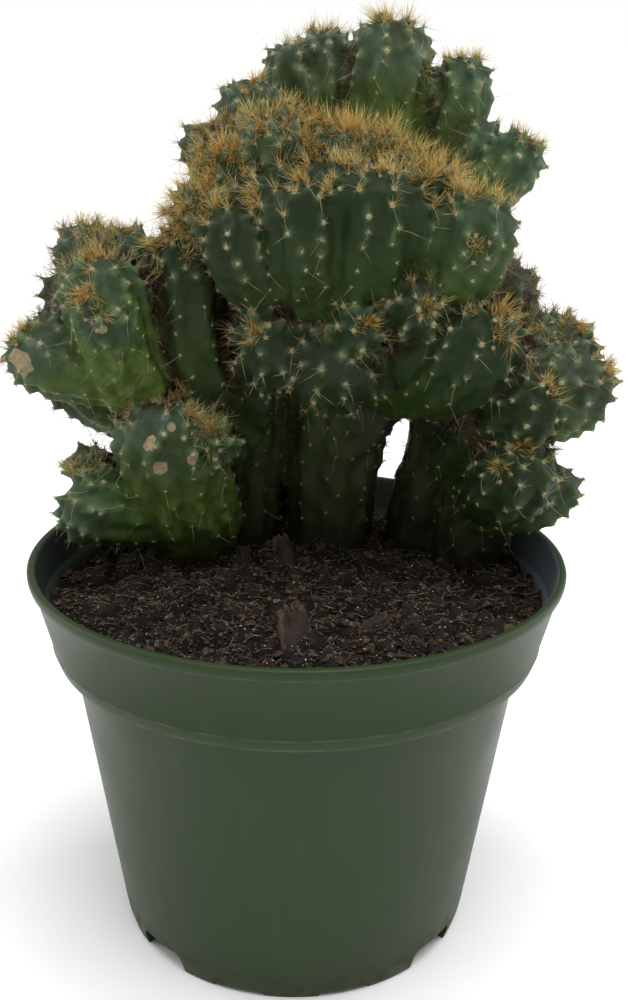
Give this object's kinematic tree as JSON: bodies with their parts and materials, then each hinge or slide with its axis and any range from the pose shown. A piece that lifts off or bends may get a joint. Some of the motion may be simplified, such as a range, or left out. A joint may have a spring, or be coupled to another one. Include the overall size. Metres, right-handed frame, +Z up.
{
  "type": "potted crested cactus",
  "caption": "Lumpy crested cactus of fused, ribbed, spiny heads, growing in soil and bark chips in a round green plastic nursery pot with a deep rim band and drain notches.",
  "frame": {"origin": "middle of the pot's foot, on the surface that the pot stands on", "axes": "+Z up along the pot's axis, -Y towards the plant's front, +X towards its right-hand side seen from the front"},
  "size_m": [0.1763, 0.153, 0.263],
  "materials": {
    "green_plastic": "satin",
    "potting_mix": "matte",
    "cactus_skin": "satin",
    "bark": "matte"
  },
  "bodies": {
    "root": {"pot": "green_plastic", "soil": "potting_mix", "cactus": "cactus_skin", "bark_chip_front": "bark", "bark_chip_middle": "bark", "bark_chip_left": "bark", "bark_chip_right": "bark", "bark_chip_back": "bark"}
  },
  "joints": []
}
